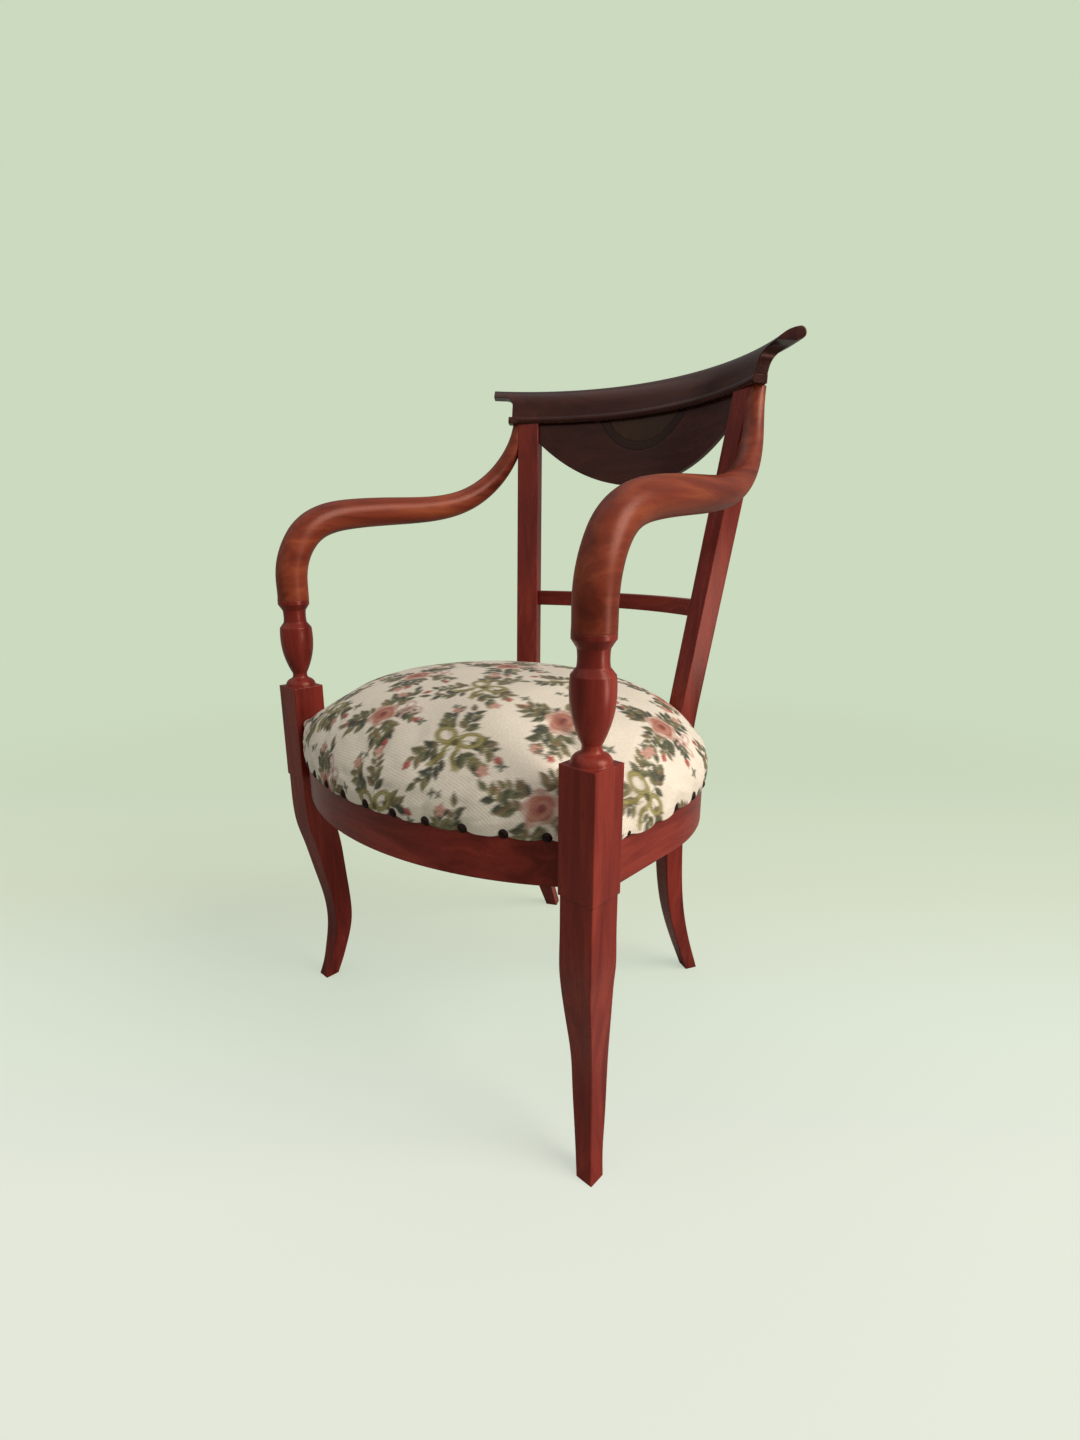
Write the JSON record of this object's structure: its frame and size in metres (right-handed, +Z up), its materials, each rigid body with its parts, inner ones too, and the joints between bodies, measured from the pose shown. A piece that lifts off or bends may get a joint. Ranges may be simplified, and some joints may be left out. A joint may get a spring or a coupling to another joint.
{
  "type": "armchair",
  "caption": "Open armchair in polished mahogany with a half-round inlaid back panel, rolled crest rail, scrolling round arms and a domed stuffed seat in floral tapestry",
  "frame": {"origin": "on the floor under the middle of the overall box", "axes": "+X to the sitter's left, -Y to the front of the chair, +Z up"},
  "size_m": [0.551, 0.567, 0.8853],
  "materials": {
    "mahogany": "satin french polish",
    "mahogany_arm": "satin french polish, worn lighter on top",
    "dark_mahogany": "satin french polish",
    "ebonised_inlay": "polished flush",
    "walnut_inlay": "polished flush",
    "beech": "unfinished",
    "screw_steel": "plain",
    "tack_steel": "blued",
    "browned_nails": "dark brown, low sheen",
    "jute_webbing": "woven",
    "hessian_cloth": "open plain weave",
    "horsehair_pad": "stuffed",
    "tapestry_cloth": "woven tapestry with floral sprays"
  },
  "bodies": {
    "root": {"front_leg_left": "mahogany", "front_leg_right": "mahogany", "rear_leg_left": "mahogany", "rear_leg_right": "mahogany", "arm_left": "mahogany_arm", "arm_right": "mahogany_arm", "crest_rail": "dark_mahogany", "back_panel": "dark_mahogany", "inlay_band": "ebonised_inlay", "inlay_half_moon": "walnut_inlay", "mid_rail": "mahogany", "seat_rail_front": "mahogany", "seat_rail_left": "mahogany", "seat_rail_right": "mahogany", "seat_rail_back": "mahogany", "corner_block_front_left": "beech", "corner_block_front_right": "beech", "corner_block_rear_left": "beech", "corner_block_rear_right": "beech", "joint_dowels": "beech", "panel_dowels": "beech", "block_screws": "screw_steel", "leg_screws": "screw_steel", "webbing_tacks": "tack_steel", "cover_nails": "browned_nails", "webbing_front_to_back": "jute_webbing", "webbing_side_to_side": "jute_webbing", "hessian": "hessian_cloth", "stuffing_pad": "horsehair_pad", "seat_cover": "tapestry_cloth"}
  },
  "joints": []
}
